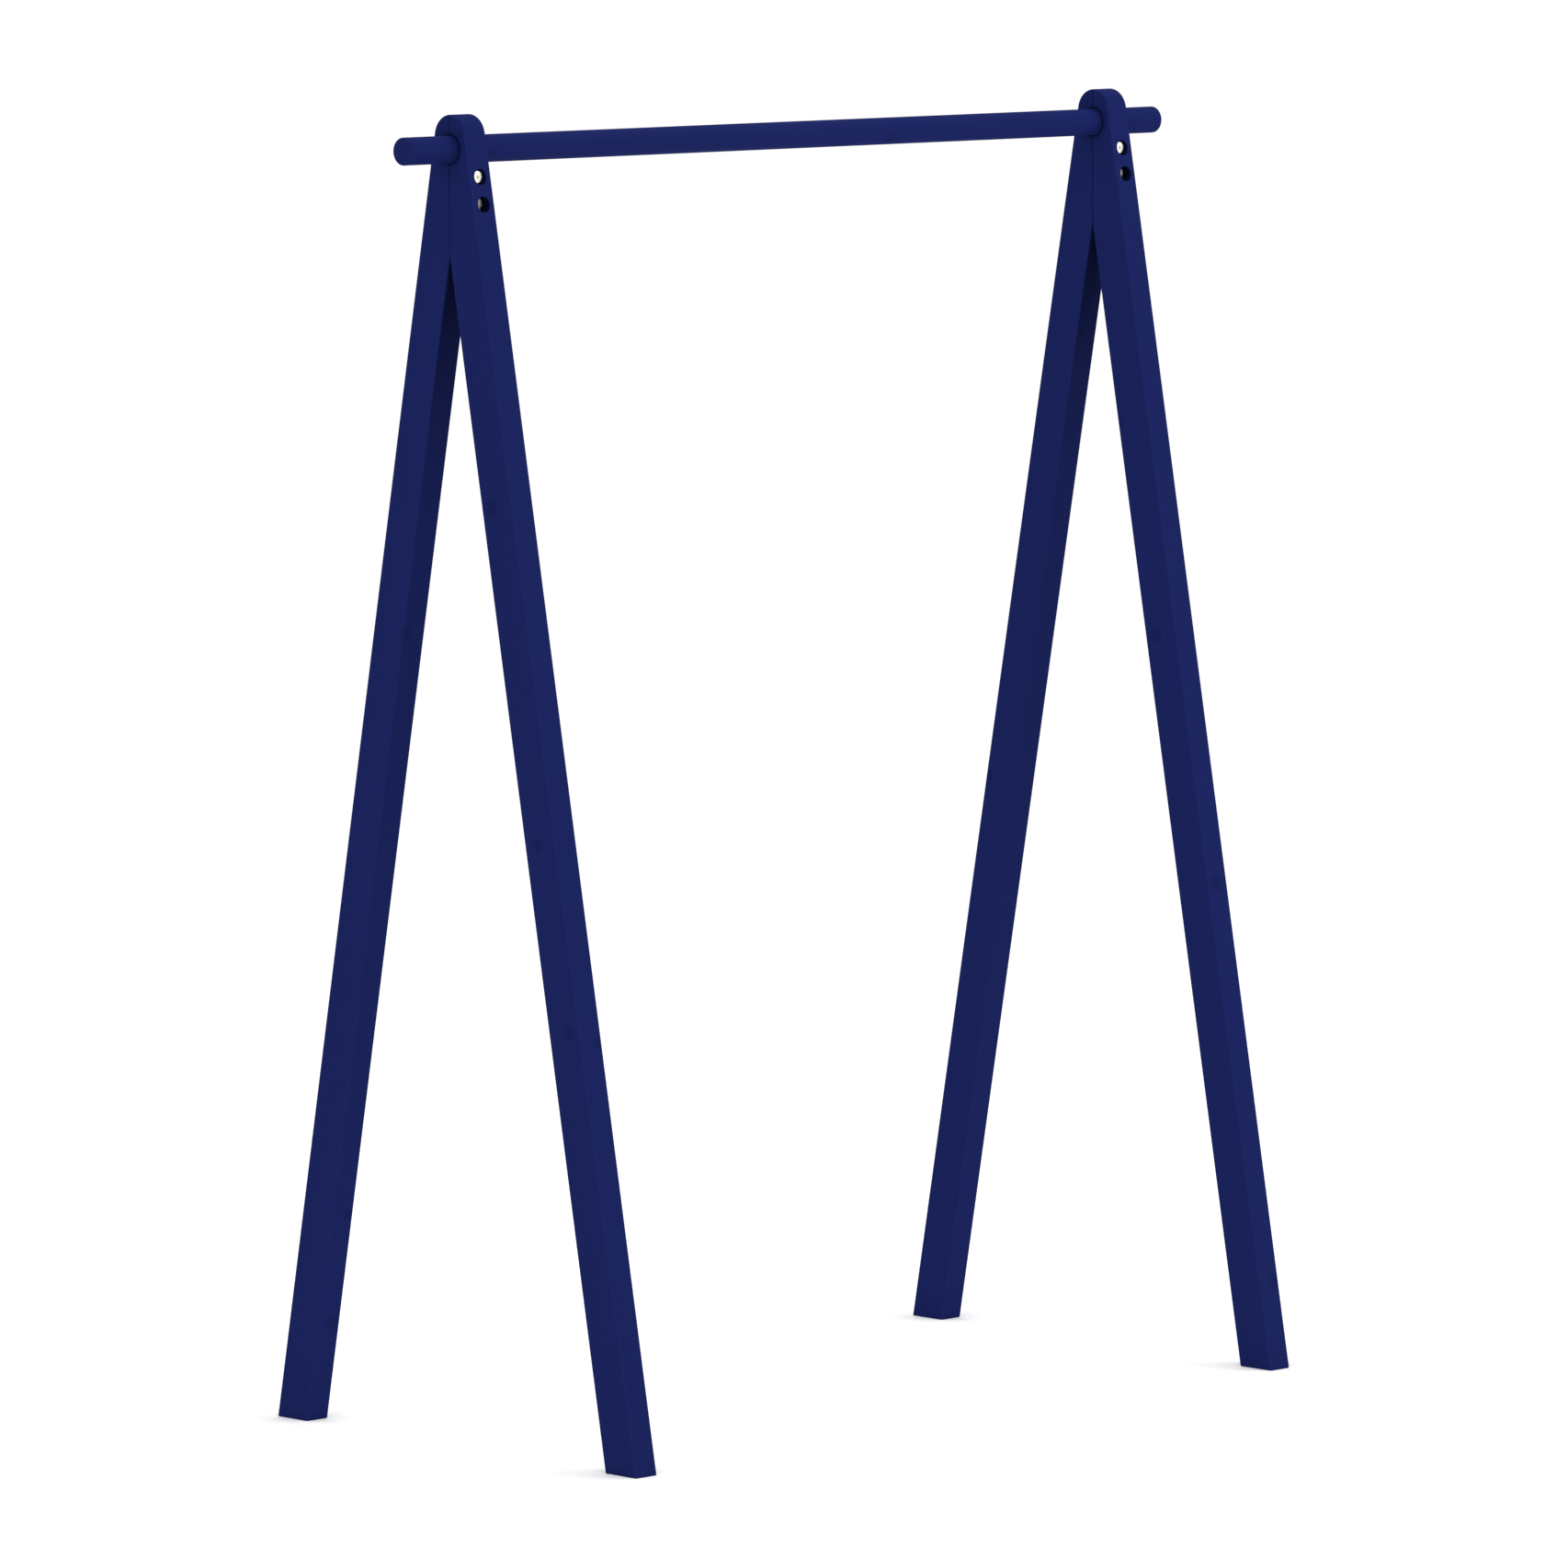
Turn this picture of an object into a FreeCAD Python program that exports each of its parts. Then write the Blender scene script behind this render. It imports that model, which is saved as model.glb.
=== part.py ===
"""A-frame clothes rail: two bolted timber end frames carrying one round rail.

Axes: +X runs along the rail, +Y to the rear, +Z up.  The origin is on the floor, midway between the
four feet.  All sizes are in millimetres.
"""
import FreeCAD, Part
import os
import re
from math import cos, radians, sin

import Sketcher

CLOSE = 1e-6
NO_TURN = FreeCAD.Rotation()
HALF_TURN = FreeCAD.Rotation(FreeCAD.Vector(0, 0, 1), 180)

# Driving dimensions: alias, value, meaning.
SIZES = [
    ("height", 1500.0, "floor to the top of the end frames"),
    ("footprint_depth", 591.0, "front foot to rear foot, over the outer edges"),
    ("frame_pitch", 1043.0, "middle of one end frame to the middle of the other"),
    ("leg_thick", 32.3, "thickness of a leg, along the rail"),
    ("leg_width", 49.4, "width of a leg, square to its long edges"),
    ("top_radius", 25.0, "rounding over the top of an end frame"),
    ("edge_round", 2.0, "rounding of the long edges"),
    ("foot_round", 1.5, "rounding round the sole of a foot"),
    ("mouth_round", 0.8, "easing of the mouths of the rail hole and the counterbores"),
    ("rail_diameter", 31.2, "round rail"),
    ("rail_length", 1218.5, "end to end"),
    ("rail_drop", 38.8, "top of an end frame down to the middle of the rail"),
    ("rail_end_round", 2.0, "rounding of the rail's ends"),
    ("bolt_drop", 30.0, "middle of the rail down to the upper bolt"),
    ("bolt_pitch", 30.4, "upper bolt down to the lower bolt"),
    ("bolt_diameter", 6.0, "thread of the bolts"),
    ("bolt_play", 0.6, "bolt hole over the bolt, on the diameter"),
    ("head_diameter", 14.2, "heads of the bolts and of the nuts"),
    ("head_height", 2.6, "thickness of the heads"),
    ("head_round", 0.9, "rounding of the rim of the heads"),
    ("head_play", 2.8, "counterbore over the head, on the diameter"),
    ("wood_under_head", 25.8, "seam to the floor of a counterbore"),
    ("hex_key", 4.0, "key size across the flats"),
    ("hex_depth", 2.4, "depth of the key sockets"),
    ("tip_chamfer", 0.8, "chamfer at the tip of a bolt and round the nut's barrel"),
    ("barrel_diameter", 9.0, "barrel of a sleeve nut"),
    ("barrel_length", 16.0, "barrel of a sleeve nut, under its head"),
    ("barrel_play", 0.4, "hole over the barrel, on the diameter"),
    ("thread_overlap", 9.0, "length of bolt inside a nut's barrel"),
    ("thread_spare", 3.0, "free thread in the nut beyond the tip of the bolt"),
]

doc = FreeCAD.newDocument("clothes_rail")
sheet = doc.addObject("Spreadsheet::Sheet", "Sizes")
for row, (alias, value, meaning) in enumerate(SIZES, start=1):
    sheet.set("A%d" % row, str(value))
    sheet.setAlias("A%d" % row, alias)
    sheet.set("B%d" % row, meaning)
doc.recompute()


def size(alias):
    """The present value of one driving dimension."""
    return float(sheet.get(alias))


def bound(expression):
    """An expression in plain aliases, rewritten to read the sheet."""
    aliases = {alias for alias, _, _ in SIZES}
    return re.sub("[a-z_]+", lambda word: ("Sizes." if word[0] in aliases else "") + word[0], expression)


# ---------------------------------------------------------------- helpers

def new_body(label):
    body = doc.addObject("PartDesign::Body", label)
    body.Label = label
    return body


def new_sketch(body, name, role, offset=None):
    """A sketch on one of the body's own origin planes, moved along its normal by an expression."""
    sketch = body.newObject("Sketcher::SketchObject", body.Name + "_" + name)
    plane = next(f for f in body.Origin.OriginFeatures if f.Role == role)
    sketch.AttachmentSupport = (plane, [""])
    sketch.MapMode = "FlatFace"
    if offset:
        sketch.setExpression("AttachmentOffset.Base.z", bound(offset))
    return sketch


def constrain(sketch, kind, *args, name=None, value=None):
    """Add one constraint; a dimension also gets a name and an expression."""
    index = sketch.addConstraint(Sketcher.Constraint(kind, *args))
    if name:
        sketch.renameConstraint(index, name)
        sketch.setExpression("Constraints." + name, bound(value))


def add_lines(sketch, corners):
    """A closed ring of straight lines through the corners."""
    points = [FreeCAD.Vector(a, b, 0) for a, b in corners]
    for start, end in zip(points, points[1:] + points[:1]):
        sketch.addGeometry(Part.LineSegment(start, end), False)
    for line in range(len(points)):
        constrain(sketch, "Coincident", line, 2, (line + 1) % len(points), 1)


def circle_sketch(body, name, role, diameter, height, offset=None):
    """One circle on the sketch's vertical axis."""
    sketch = new_sketch(body, name, role, offset)
    sketch.addGeometry(Part.Circle(FreeCAD.Vector(0, 1, 0), FreeCAD.Vector(0, 0, 1), 1), False)
    constrain(sketch, "PointOnObject", 0, 3, -2)
    constrain(sketch, "DistanceY", -1, 1, 0, 3, 1, name="height", value=height)
    constrain(sketch, "Diameter", 0, 2, name="diameter", value=diameter)
    return sketch


def pad(body, name, sketch, length):
    """Extrude a sketch by the same amount to both sides."""
    feature = body.newObject("PartDesign::Pad", body.Name + "_" + name)
    feature.Profile = sketch
    feature.SideType = "Symmetric"
    feature.setExpression("Length", bound(length))
    doc.recompute()
    return feature


def pocket(body, name, sketch, both_sides=False, reversed_side=False, length=None):
    """Cut a sketch out of the body; it has to take some material away."""
    before = body.Shape.Volume
    feature = body.newObject("PartDesign::Pocket", body.Name + "_" + name)
    feature.Profile = sketch
    feature.SideType = "Symmetric" if both_sides else "One side"
    feature.Reversed = reversed_side
    if length is None:
        feature.Type = "ThroughAll"
    else:
        feature.Type = "Length"
        feature.setExpression("Length", bound(length))
    doc.recompute()
    if not body.Shape.Volume < before:
        raise RuntimeError("%s cuts nothing" % feature.Name)
    return feature


def soften(body, kind, name, amount, wanted):
    """Round or chamfer the edges of the body's tip that pass a test."""
    base = body.Tip
    names = ["Edge%d" % number for number, edge in enumerate(base.Shape.Edges, start=1) if wanted(edge)]
    if not names:
        raise RuntimeError("%s_%s finds no edge" % (body.Name, name))
    feature = body.newObject("PartDesign::" + kind, body.Name + "_" + name)
    feature.Base = (base, names)
    feature.setExpression("Radius" if kind == "Fillet" else "Size", bound(amount))
    doc.recompute()
    return feature


def is_circle(edge, diameter):
    """True for a circle of this diameter, whole or in part."""
    return edge.Curve.TypeId == "Part::GeomCircle" and abs(edge.Curve.Radius * 2 - diameter) < CLOSE


def place(body, rotation, **position):
    """Put a finished body where it belongs in the assembly."""
    body.Placement = FreeCAD.Placement(FreeCAD.Vector(0, 0, 0), rotation)
    for axis, expression in position.items():
        body.setExpression("Placement.Base." + axis, bound(expression))


# ---------------------------------------------------------------- legs

RAIL_HEIGHT = "height - rail_drop"
BOLT_HEIGHT = "height - rail_drop - bolt_drop"
END_FRAMES = {"left": "frame_pitch * -0.5", "right": "frame_pitch * 0.5"}


def leg_outline(body):
    """Side view of a rounded batten that leans inwards, before its mitre is cut.

    The outer edge runs from the foot up to the rounded top, which is centred on the seam, and the
    inner edge runs parallel to it until it meets the rounding on the far side of the seam.
    """
    sketch = new_sketch(body, "outline", "YZ_Plane")
    half = size("footprint_depth") / 2
    tall = size("height")
    top = size("top_radius")
    wide = size("leg_width")
    point = FreeCAD.Vector
    outer_foot = point(half, 0, 0)
    inner_foot = point(half - wide, 0, 0)
    shoulder = point(top, tall - top, 0)
    far_side = point(-top, tall - top, 0)
    rounding = Part.Circle(point(0, tall - top, 0), point(0, 0, 1), top)
    foot, outer, crown, inner = 0, 1, 2, 3
    sketch.addGeometry(Part.LineSegment(inner_foot, outer_foot), False)
    sketch.addGeometry(Part.LineSegment(outer_foot, shoulder), False)
    sketch.addGeometry(Part.ArcOfCircle(rounding, 0, 3.0), False)
    sketch.addGeometry(Part.LineSegment(far_side, inner_foot), False)
    constrain(sketch, "Coincident", foot, 2, outer, 1)
    constrain(sketch, "Coincident", inner, 2, foot, 1)
    constrain(sketch, "Coincident", crown, 2, inner, 1)
    constrain(sketch, "Tangent", outer, 2, crown, 1)
    constrain(sketch, "PointOnObject", foot, 1, -1)
    constrain(sketch, "PointOnObject", foot, 2, -1)
    constrain(sketch, "PointOnObject", crown, 3, -2)
    constrain(sketch, "Parallel", inner, outer)
    constrain(sketch, "DistanceX", -1, 1, foot, 2, half, name="half_depth", value="footprint_depth * 0.5")
    constrain(sketch, "Radius", crown, top, name="top_radius", value="top_radius")
    constrain(sketch, "DistanceY", -1, 1, crown, 3, tall - top, name="crown", value="height - top_radius")
    constrain(sketch, "Distance", foot, 1, outer, wide, name="leg_width", value="leg_width")
    return sketch


def mitre_outline(body):
    """Everything beyond the seam, seen from the front, up to past the top."""
    sketch = new_sketch(body, "beyond_seam", "XZ_Plane")
    reach = size("leg_thick")
    add_lines(sketch, [(-reach, 1), (reach, 1), (reach, 2), (-reach, 2)])
    constrain(sketch, "Symmetric", 0, 1, 0, 2, -2)
    constrain(sketch, "Horizontal", 2)
    constrain(sketch, "Vertical", 1)
    constrain(sketch, "Vertical", 3)
    constrain(sketch, "DistanceX", 0, 1, 0, 2, 2 * reach, name="across", value="leg_thick * 2")
    constrain(sketch, "DistanceY", -1, 1, 0, 1, 1, name="low", value="height * 0.5")
    constrain(sketch, "DistanceY", -1, 1, 2, 1, 2, name="high", value="height + top_radius")
    return sketch


def in_side_face(edge):
    """True for the long edges and the crown's edges, which lie flat in a side face."""
    return edge.BoundBox.XLength < CLOSE and not on_sole(edge)


def on_sole(edge):
    return edge.BoundBox.ZMax < CLOSE


def at_rail_mouth(edge):
    """True for the arcs where the rail enters and leaves the leg."""
    return is_circle(edge, size("rail_diameter")) and edge.BoundBox.XLength < CLOSE


def at_counterbore_mouth(edge):
    """True for the slanting rims where the counterbores break through the outer face."""
    box = edge.BoundBox
    full_width = abs(box.XLength - size("head_diameter") - size("head_play")) < 1e-3
    return full_width and box.YLength > 1e-3 and box.YMin > size("wood_under_head")


def make_leg(label, frame_x, rotation, takes_nuts):
    """One leg, drawn leaning to the rear; a front leg is the same batten turned round."""
    body = new_body(label)
    pad(body, "batten", leg_outline(body), "leg_thick")
    soften(body, "Fillet", "long_edges", "edge_round", in_side_face)
    pocket(body, "mitre", mitre_outline(body), reversed_side=True)
    rail_hole = circle_sketch(body, "rail_circle", "YZ_Plane", "rail_diameter", RAIL_HEIGHT)
    pocket(body, "rail_hole", rail_hole, both_sides=True)
    bolt_circle = circle_sketch(body, "bolt_circle", "XZ_Plane", "bolt_diameter + bolt_play", BOLT_HEIGHT)
    bores = [pocket(body, "bolt_hole", bolt_circle)]
    if takes_nuts:
        barrel_circle = circle_sketch(body, "barrel_circle", "XZ_Plane", "barrel_diameter + barrel_play",
                                      BOLT_HEIGHT, offset="barrel_length - wood_under_head")
        bores.append(pocket(body, "barrel_hole", barrel_circle))
    head_circle = circle_sketch(body, "head_circle", "XZ_Plane", "head_diameter + head_play",
                                BOLT_HEIGHT, offset="wood_under_head * -1")
    bores.append(pocket(body, "counterbore", head_circle))
    pair = body.newObject("PartDesign::LinearPattern", body.Name + "_bolt_pair")
    pair.Originals = bores
    pair.Direction = (next(f for f in body.Origin.OriginFeatures if f.Role == "Z_Axis"), [""])
    pair.Reversed = True
    pair.Occurrences = 2
    pair.setExpression("Length", bound("bolt_pitch"))
    body.Tip = pair
    doc.recompute()
    soften(body, "Fillet", "sole_edges", "foot_round", on_sole)
    soften(body, "Fillet", "rail_mouths", "mouth_round", at_rail_mouth)
    soften(body, "Fillet", "counterbore_mouths", "mouth_round", at_counterbore_mouth)
    place(body, rotation, x=frame_x)


# ---------------------------------------------------------------- rail

def make_rail(label):
    """A round rod; its section is drawn at its own height, so the body needs no move."""
    body = new_body(label)
    section = circle_sketch(body, "section", "YZ_Plane", "rail_diameter", RAIL_HEIGHT)
    pad(body, "rod", section, "rail_length")
    soften(body, "Fillet", "ends", "rail_end_round", lambda edge: edge.BoundBox.XLength < CLOSE)


# ---------------------------------------------------------------- bolts and sleeve nuts

def turned(body, corners, radii, levels):
    """Revolve a stepped half section about the body's Y axis.

    The corners only say roughly where the steps are.  The lines are level and upright in turn; each
    level line has an entry in levels and each upright one, but for the last, which is the axis, one
    in radii.  A level of None is the body's own zero, the underside of the head.
    """
    sketch = new_sketch(body, "half_section", "XY_Plane")
    add_lines(sketch, corners)
    for line in range(len(corners)):
        constrain(sketch, "Horizontal" if line % 2 == 0 else "Vertical", line)
    constrain(sketch, "PointOnObject", 0, 1, -2)
    for step, radius in enumerate(radii):
        constrain(sketch, "DistanceX", -1, 1, 2 * step + 1, 1, corners[2 * step + 1][0],
                  name="radius_%d" % step, value=radius)
    for step, level in enumerate(levels):
        if level is None:
            constrain(sketch, "PointOnObject", 2 * step, 1, -1)
        else:
            constrain(sketch, "DistanceY", -1, 1, 2 * step, 1, corners[2 * step][1],
                      name="level_%d" % step, value=level)
    feature = body.newObject("PartDesign::Revolution", body.Name + "_turned")
    feature.Profile = sketch
    feature.ReferenceAxis = (sketch, ["V_Axis"])
    feature.Angle = 360
    doc.recompute()


def key_socket(body):
    """A hexagonal socket in the outer face of the head."""
    sketch = new_sketch(body, "hexagon", "XZ_Plane", offset="head_height")
    corners = [(cos(radians(angle)), sin(radians(angle))) for angle in range(90, 450, 60)]
    add_lines(sketch, corners)
    circle = len(corners)
    sketch.addGeometry(Part.Circle(FreeCAD.Vector(0, 0, 0), FreeCAD.Vector(0, 0, 1), 1), True)
    constrain(sketch, "Coincident", circle, 3, -1, 1)
    constrain(sketch, "PointOnObject", 0, 1, -2)
    for line in range(len(corners)):
        constrain(sketch, "PointOnObject", line, 1, circle)
    for line in range(1, len(corners)):
        constrain(sketch, "Equal", 0, line)
    constrain(sketch, "Diameter", circle, 2, name="corners", value="hex_key * 2 / sqrt(3)")
    pocket(body, "key_socket", sketch, length="hex_depth")


def head_rim(edge):
    """True for the outer rim of the head; the inner one lies at the body's zero."""
    return is_circle(edge, size("head_diameter")) and edge.BoundBox.YMax < -CLOSE


def far_end(diameter):
    """A test for the rim of this diameter at the end away from the head."""
    return lambda edge: is_circle(edge, size(diameter)) and edge.BoundBox.YMin > CLOSE


def make_bolt(label, frame_x, height):
    """The head lies at the front and the shank points to the rear."""
    body = new_body(label)
    length = "wood_under_head * 2 - barrel_length + thread_overlap"
    turned(body, [(0, -1), (3, -1), (3, 0), (1, 0), (1, 9), (0, 9)],
           ["head_diameter * 0.5", "bolt_diameter * 0.5"], ["head_height * -1", None, length])
    key_socket(body)
    soften(body, "Fillet", "head_rim", "head_round", head_rim)
    soften(body, "Chamfer", "tip", "tip_chamfer", far_end("bolt_diameter"))
    place(body, NO_TURN, x=frame_x, y="wood_under_head * -1", z=height)


def make_nut(label, frame_x, height):
    """The head lies at the rear and the barrel points to the front, over the end of the bolt."""
    body = new_body(label)
    thread_end = "barrel_length - thread_overlap - thread_spare"
    turned(body, [(0, -1), (4, -1), (4, 0), (3, 0), (3, 9), (1, 9), (1, 4), (0, 4)],
           ["head_diameter * 0.5", "barrel_diameter * 0.5", "bolt_diameter * 0.5"],
           ["head_height * -1", None, "barrel_length", thread_end])
    key_socket(body)
    soften(body, "Fillet", "head_rim", "head_round", head_rim)
    soften(body, "Chamfer", "barrel_end", "tip_chamfer", far_end("barrel_diameter"))
    place(body, HALF_TURN, x=frame_x, y="wood_under_head", z=height)


# ---------------------------------------------------------------- assembly

make_rail("hanging_rail")
for side, frame_x in END_FRAMES.items():
    make_leg(side + "_front_leg", frame_x, HALF_TURN, takes_nuts=False)
    make_leg(side + "_rear_leg", frame_x, NO_TURN, takes_nuts=True)
    for level, height in (("upper", BOLT_HEIGHT), ("lower", BOLT_HEIGHT + " - bolt_pitch")):
        make_bolt("%s_%s_bolt" % (side, level), frame_x, height)
        make_nut("%s_%s_sleeve_nut" % (side, level), frame_x, height)
doc.recompute()

for item in doc.Objects:
    if "Invalid" in item.State or "Error" in item.State:
        raise RuntimeError("%s did not compute: %s" % (item.Label, item.State))
bodies = [item for item in doc.Objects if item.TypeId == "PartDesign::Body"]
for body in bodies:
    if body.Shape.isNull() or not body.Shape.isValid() or len(body.Shape.Solids) != 1:
        raise RuntimeError("%s is not one sound solid" % body.Label)

os.makedirs("parts", exist_ok=True)
for body in bodies:
    body.Shape.exportStep("parts/%s.step" % body.Label)
    box = body.Shape.BoundBox
    print("%-24s %9.0f mm3   x %7.1f %7.1f   y %7.1f %7.1f   z %7.1f %7.1f" % (
        body.Label, body.Shape.Volume, box.XMin, box.XMax, box.YMin, box.YMax, box.ZMin, box.ZMax))
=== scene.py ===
# %% [markdown]
# # A painted clothes rail, built round its CAD frame
# The real thing is a round wooden rail held by two A-shaped end frames.  Each end frame is two
# planed battens, mitred against each other and pulled together by two bolts.  Everything is
# painted one matt navy.  The CAD model already says how large each piece is and where it stands,
# so this lesson loads it first and never moves it.  What Blender adds is the finish: true eased
# edges, a seam that reads as a seam, wood that shows through its paint, and real bolt heads.

# %% Load the frame
from math import acos, atan2, cos, degrees, hypot, pi, radians, sin, sqrt

import bmesh
import bpy
from mathutils import Matrix, Vector


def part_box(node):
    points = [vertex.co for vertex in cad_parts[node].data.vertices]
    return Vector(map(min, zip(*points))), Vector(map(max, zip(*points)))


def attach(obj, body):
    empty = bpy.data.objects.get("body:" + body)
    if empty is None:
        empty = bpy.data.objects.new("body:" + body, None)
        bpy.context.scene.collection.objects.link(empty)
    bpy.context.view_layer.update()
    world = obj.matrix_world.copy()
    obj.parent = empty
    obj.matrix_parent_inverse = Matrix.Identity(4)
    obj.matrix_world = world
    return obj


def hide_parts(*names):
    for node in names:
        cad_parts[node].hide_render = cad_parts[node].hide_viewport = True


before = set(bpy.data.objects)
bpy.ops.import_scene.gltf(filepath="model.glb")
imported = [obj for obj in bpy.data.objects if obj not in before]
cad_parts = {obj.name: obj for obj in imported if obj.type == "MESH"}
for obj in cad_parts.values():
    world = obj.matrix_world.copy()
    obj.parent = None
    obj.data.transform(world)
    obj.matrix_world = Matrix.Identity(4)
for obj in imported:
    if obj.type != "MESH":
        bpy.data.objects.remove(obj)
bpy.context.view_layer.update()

print("CAD nodes:", ", ".join(sorted(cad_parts)))

# %% [markdown]
# ## Sizes
# A maker works from a short list of sizes.  The ones that the CAD nodes give, such as how thick a
# leg is and how long the rail is, are read from their boxes.  The others are cutter sizes, written
# here in millimetres, because that is how a workshop says them.

# %% Sizes that the whole object shares
MM = 0.001


def middle(low, high):
    """Half way between two places."""
    return (low + high) / 2


leg_low, leg_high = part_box("right_rear_leg")
rail_low, rail_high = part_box("hanging_rail")
TOP = leg_high.z
LEG_THICK = leg_high.x - leg_low.x
FRAME_PLACES = {
    "left": middle(*(corner.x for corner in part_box("left_rear_leg"))),
    "right": middle(leg_low.x, leg_high.x),
}
HALF_DEPTH = 295.5 * MM
LEG_WIDTH = 49.4 * MM
CROWN_RADIUS = 25 * MM
RAIL_RADIUS = 15.6 * MM
RAIL_HEIGHT = middle(rail_low.z, rail_high.z)
RAIL_LENGTH = rail_high.x - rail_low.x

crown_centre = Vector((0, 0, TOP - CROWN_RADIUS))
slant = hypot(HALF_DEPTH, crown_centre.z)
LEAN = acos(CROWN_RADIUS / slant) - atan2(crown_centre.z, HALF_DEPTH)
print("legs lean %.2f degrees; rail %.1f mm thick, %.0f mm up" % (
    degrees(LEAN), 2 * RAIL_RADIUS / MM, RAIL_HEIGHT / MM))

# %% [markdown]
# ## Helpers for working by hand
# Every edit-mode tool acts on whatever is selected, so a forgotten selection spoils the next step.
# These helpers open one piece for editing, and select only the faces or edges that pass a test on
# their place or direction.  That is what a person does with the mouse.

# %% Open, select and close
def pick(piece):
    """Make one object the only selected one, and the active one."""
    if bpy.context.mode != "OBJECT":
        bpy.ops.object.mode_set(mode="OBJECT")
    bpy.ops.object.select_all(action="DESELECT")
    piece.select_set(True)
    bpy.context.view_layer.objects.active = piece


def edit(piece):
    """Open one object in edit mode."""
    pick(piece)
    bpy.ops.object.mode_set(mode="EDIT")


def close_edit():
    """Go back from edit mode to object mode."""
    bpy.ops.object.mode_set(mode="OBJECT")


def select_only(kind, wanted):
    """In edit mode, select the faces or edges that pass a test, and say how many they are."""
    bpy.ops.mesh.select_mode(type=kind)
    bpy.ops.mesh.select_all(action="DESELECT")
    mesh = bpy.context.object.data
    shape = bmesh.from_edit_mesh(mesh)
    items = shape.faces if kind == "FACE" else shape.edges
    chosen = [item for item in items if wanted(item)]
    for item in chosen:
        item.select_set(True)
    shape.select_flush_mode()
    bmesh.update_edit_mesh(mesh)
    return len(chosen)


def ends(edge):
    """The two ends of an edge."""
    return [corner.co for corner in edge.verts]


def near(value, target, slack=0.02 * MM):
    """Whether two lengths are the same, but for rounding."""
    return abs(value - target) < slack


bpy.ops.object.select_all(action="DESELECT")
print("nothing is selected:", not bpy.context.selected_objects)

# %% [markdown]
# A new primitive has a name, a place and a turn of its own.  Naming it at once keeps the outliner
# readable, and settling its place and turn into the mesh lets every later test be made in the
# frame's own directions.

# %% Name and settle
def name_new(name):
    """Name the object that a primitive operator has just added."""
    piece = bpy.context.object
    piece.name = name
    piece.data.name = name
    return piece


def settle():
    """Move the active object's place, turn and scale into its mesh."""
    bpy.ops.object.transform_apply(location=True, rotation=True, scale=True)


# %% [markdown]
# ## One leg
# A leg is a planed batten.  The saw cuts it level at the floor and plumb at the seam, and the top
# is rounded so that the two legs of a frame make one half circle.  A box with a boolean for every
# cut would do, but the bisect tool is closer to the saw: it cuts along a plane and closes the
# wound.  The rounded top is the cut end spun a quarter turn about the middle of the crown.

# %% Saw the batten
def sawn_batten():
    """A batten that leans to the rear, cut level, plumb and square to its edge at the crown."""
    spare = 100 * MM
    bpy.ops.mesh.primitive_cube_add(
        size=1,
        location=(0, HALF_DEPTH - LEG_WIDTH / 2, TOP / 2),
        scale=(LEG_THICK, LEG_WIDTH, TOP + 2 * spare),
    )
    batten = name_new("batten")
    settle()
    foot = Matrix.Translation((0, HALF_DEPTH, 0))
    batten.matrix_world = foot @ Matrix.Rotation(LEAN, 4, "X") @ foot.inverted()
    settle()
    edit(batten)
    cuts = {
        "level, at the floor": (Vector((0, 0, 0)), Vector((0, 0, -1))),
        "plumb, at the seam": (Vector((0, 0, 0)), Vector((0, -1, 0))),
        "square, at the crown": (crown_centre, Vector((0, -sin(LEAN), cos(LEAN)))),
    }
    for plane, away in cuts.values():
        bpy.ops.mesh.select_all(action="SELECT")
        bpy.ops.mesh.bisect(plane_co=plane, plane_no=away, use_fill=True, clear_outer=True)
    close_edit()
    print("batten cut:", "; ".join(cuts), "->", len(batten.data.polygons), "faces")
    return batten


leg = sawn_batten()

# %% [markdown]
# The crown is a quarter round that runs from the slanting edge to the seam.  The spin tool is the
# compass here: it sweeps the square-cut end face about the crown's middle, through the angle that
# is left between the lean of the leg and the plumb seam.  The flat faces that it cut into strips
# are joined again, so that the bevel that comes next finds clean edges.

# %% Spin the crown
CROWN_STEPS = 28
FLAT_ANGLE = radians(0.5)


def mend():
    """In edit mode, merge doubled corners and point every face outwards."""
    bpy.ops.mesh.select_all(action="SELECT")
    bpy.ops.mesh.remove_doubles(threshold=0.01 * MM)
    bpy.ops.mesh.normals_make_consistent(inside=False)


def open_edges(piece):
    """Count the edges that do not have exactly one face on each side; a sound solid has none."""
    shape = bmesh.new()
    shape.from_mesh(piece.data)
    count = sum(1 for edge in shape.edges if not edge.is_manifold)
    shape.free()
    return count


def spin_crown(batten):
    """Sweep the square-cut end about the crown's middle until it meets the seam."""
    up_the_edge = Vector((0, -sin(LEAN), cos(LEAN)))
    edit(batten)
    select_only("FACE", lambda face: face.normal.dot(up_the_edge) > 0.999)
    bpy.ops.mesh.spin(steps=CROWN_STEPS, angle=LEAN - pi / 2, center=crown_centre, axis=(1, 0, 0))
    mend()
    bpy.ops.mesh.select_all(action="SELECT")
    bpy.ops.mesh.dissolve_limited(angle_limit=FLAT_ANGLE)
    close_edit()
    height = max(corner.co.z for corner in batten.data.vertices)
    print("crown spun; open edges:", open_edges(batten), " top at %.2f mm" % (height / MM))


spin_crown(leg)

# %% [markdown]
# ## Ease the edges
# On the real leg the long edges are rounded by the planer before the mitre is sawn, so the
# rounding runs straight through to the seam.  That order matters here too: the bevel goes on the
# long edges first, then on the sole, and less than a millimetre of easing on the seam.  Two
# painted boards that meet with eased edges leave the fine dark line that is seen from the side.

# %% Ease the edges
EDGE_ROUND = 2 * MM
FOOT_ROUND = 1.5 * MM
SEAM_EASE = 0.8 * MM


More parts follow.
